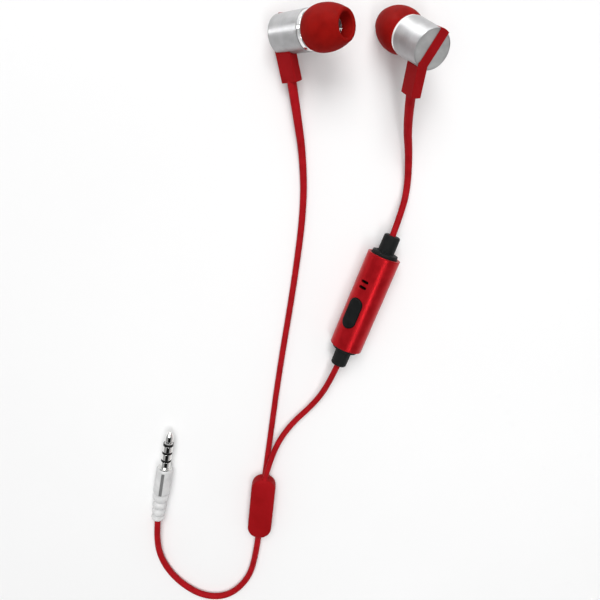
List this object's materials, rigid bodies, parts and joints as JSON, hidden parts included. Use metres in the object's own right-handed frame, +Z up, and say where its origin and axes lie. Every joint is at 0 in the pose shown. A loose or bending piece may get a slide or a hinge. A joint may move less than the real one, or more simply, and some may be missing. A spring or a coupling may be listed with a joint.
{
  "type": "wired earphones",
  "caption": "In-ear wired earphones with silicone tips, an in-line microphone with a call button, a flat cord splitter and a four-pole 3.5 mm plug.",
  "frame": {"origin": "on the surface the earphones lie on, midway between the two earbuds", "axes": "+X from the left earbud towards the right one, +Y away from the plug, +Z up from the surface"},
  "size_m": [0.092, 0.2058, 0.0242],
  "materials": {
    "satin_aluminium": "satin, fine turned",
    "grey_cap": "matte blasted",
    "polished_ring": "polished",
    "mesh_steel": "woven mesh",
    "damper_felt": "felt",
    "red_silicone": "matte silicone",
    "red_moulding": "satin moulded elastomer",
    "red_cord": "satin elastomer sheath",
    "red_anodised": "satin red anodised",
    "black_rubber": "matte",
    "black_key": "matte",
    "inner_plastic": "moulded",
    "plated_steel": "nickel plated",
    "copper_wire": "enamelled copper",
    "clear_film": "thin film",
    "circuit_board": "solder mask",
    "grey_moulding": "satin",
    "plug_metal": "nickel plated",
    "plug_insulation": "matte"
  },
  "bodies": {
    "set": {"left_body_shell": "satin_aluminium", "left_back_cap": "grey_cap", "left_nozzle": "polished_ring", "left_nozzle_mesh": "mesh_steel", "left_acoustic_damper": "damper_felt", "left_stem": "red_moulding", "left_driver_frame": "inner_plastic", "left_driver_yoke": "plated_steel", "left_driver_magnet": "plated_steel", "left_pole_plate": "plated_steel", "left_terminal_board": "circuit_board", "right_body_shell": "satin_aluminium", "right_back_cap": "grey_cap", "right_nozzle": "polished_ring", "right_nozzle_mesh": "mesh_steel", "right_acoustic_damper": "damper_felt", "right_stem": "red_moulding", "right_driver_frame": "inner_plastic", "right_driver_yoke": "plated_steel", "right_driver_magnet": "plated_steel", "right_pole_plate": "plated_steel", "right_terminal_board": "circuit_board", "mic_housing": "red_anodised", "mic_upper_collar": "black_rubber", "mic_lower_collar": "black_rubber", "mic_circuit_board": "circuit_board", "switch_base": "inner_plastic", "microphone_capsule": "plated_steel", "mic_gasket": "black_rubber", "splitter_shell": "red_moulding", "splitter_core": "inner_plastic", "left_cord": "red_cord", "right_cord": "red_cord", "mic_cord": "red_cord", "main_cord": "red_cord", "plug_strain_relief": "grey_moulding", "plug_grip": "grey_moulding", "plug_inner_mould": "inner_plastic", "plug_insulators": "plug_insulation", "plug_sleeve": "plug_metal", "plug_ring_two": "plug_metal", "plug_ring_one": "plug_metal", "plug_tip": "plug_metal"},
    "left_tip": {"left_ear_tip": "red_silicone"},
    "right_tip": {"right_ear_tip": "red_silicone"},
    "left_diaphragm_unit": {"left_voice_coil": "copper_wire", "left_diaphragm": "clear_film"},
    "right_diaphragm_unit": {"right_voice_coil": "copper_wire", "right_diaphragm": "clear_film"},
    "key": {"call_button": "black_key", "switch_plunger": "inner_plastic"}
  },
  "joints": [
    {"name": "left_tip_pull", "type": "slide", "parent": "set", "child": "left_tip", "axis": [0.7542, 0.0263, 0.6561], "range_m": [0, 0.009]},
    {"name": "right_tip_pull", "type": "slide", "parent": "set", "child": "right_tip", "axis": [-0.3918, 0.3783, -0.8387], "range_m": [0, 0.009]},
    {"name": "call_button_press", "type": "slide", "parent": "set", "child": "key", "axis": [0.5895, -0.2204, -0.7771], "range_m": [0, 0.00035], "stiffness_N_per_m": 4000, "springref_m": -0.0002},
    {"name": "left_diaphragm_stroke", "type": "slide", "parent": "set", "child": "left_diaphragm_unit", "axis": [0.7542, 0.0263, 0.6561], "range_m": [-0.00015, 0.00015], "stiffness_N_per_m": 300},
    {"name": "right_diaphragm_stroke", "type": "slide", "parent": "set", "child": "right_diaphragm_unit", "axis": [-0.3918, 0.3783, -0.8387], "range_m": [-0.00015, 0.00015], "stiffness_N_per_m": 300}
  ]
}
